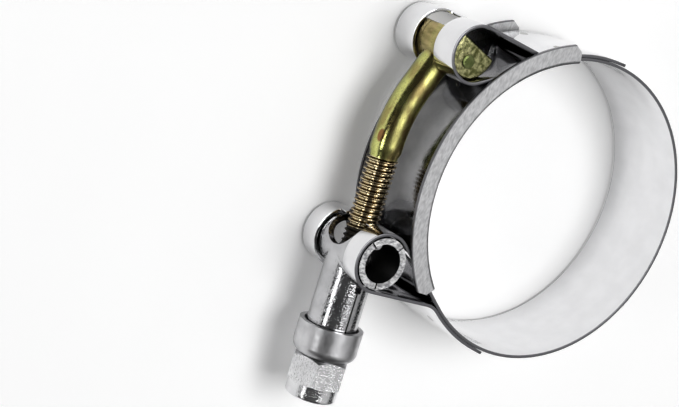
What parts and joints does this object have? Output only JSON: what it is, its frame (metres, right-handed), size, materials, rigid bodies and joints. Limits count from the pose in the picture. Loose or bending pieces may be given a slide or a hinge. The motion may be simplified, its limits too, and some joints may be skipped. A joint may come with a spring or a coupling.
{
  "type": "t bolt clamp",
  "caption": "Steel band clamp for hoses and pipes: a strip with two eyes round a curved bridge, drawn shut by a bent T-headed bolt, a folded trunnion, a cup washer and a lock nut",
  "frame": {"origin": "centre of the ring's bore, half way along the band's width", "axes": "+Z is the axis of the ring; +X points to the gap that the bolt closes; +Y points along the bolt from its head to the nut. The clamp lies flat on its bridge flanges."},
  "size_m": [0.0693, 0.0815, 0.0202],
  "materials": {
    "band_steel": "polished stainless steel",
    "bridge_steel": "satin stainless steel",
    "yellow_zinc": "yellow zinc plate",
    "trunnion_steel": "bright plated steel, fine grain",
    "washer_steel": "dull grey steel",
    "nut_steel": "bright zinc plate",
    "nylon": "nylon"
  },
  "bodies": {
    "root": {"band": "band_steel"},
    "bridge_end": {"bridge": "bridge_steel"},
    "t_bolt": {"t_bolt": "yellow_zinc"},
    "trunnion": {"trunnion": "trunnion_steel", "cup_washer": "washer_steel"},
    "nut": {"lock_nut": "nut_steel", "nut_insert": "nylon"}
  },
  "joints": [
    {"name": "nut_turn", "type": "hinge", "parent": "trunnion", "child": "nut", "pos_m": [0.02868, 0.04598, 0], "axis": [0.1564, -0.9877, 0], "range_deg": [0, 3456]},
    {"name": "ring_closing", "type": "hinge", "parent": "root", "child": "bridge_end", "pos_m": [0, 0, 0], "axis": [0, 0, 1], "range_deg": [0, 16], "deforming": ["band"]},
    {"name": "head_pivot", "type": "hinge", "parent": "bridge_end", "child": "t_bolt", "pos_m": [0.0327, -0.0206, 0], "axis": [0, 0, 1], "range_deg": [-5.41, 0]},
    {"name": "trunnion_pivot", "type": "hinge", "parent": "root", "child": "trunnion", "pos_m": [0.0327, 0.0206, 0], "axis": [0, 0, 1], "range_deg": [0, 10.6]}
  ],
  "couplings": [
    {"joint": "ring_closing", "follows": "nut_turn", "ratio": 0.0046296},
    {"joint": "head_pivot", "follows": "nut_turn", "ratio": -0.001564},
    {"joint": "trunnion_pivot", "follows": "nut_turn", "ratio": 0.0030656}
  ]
}
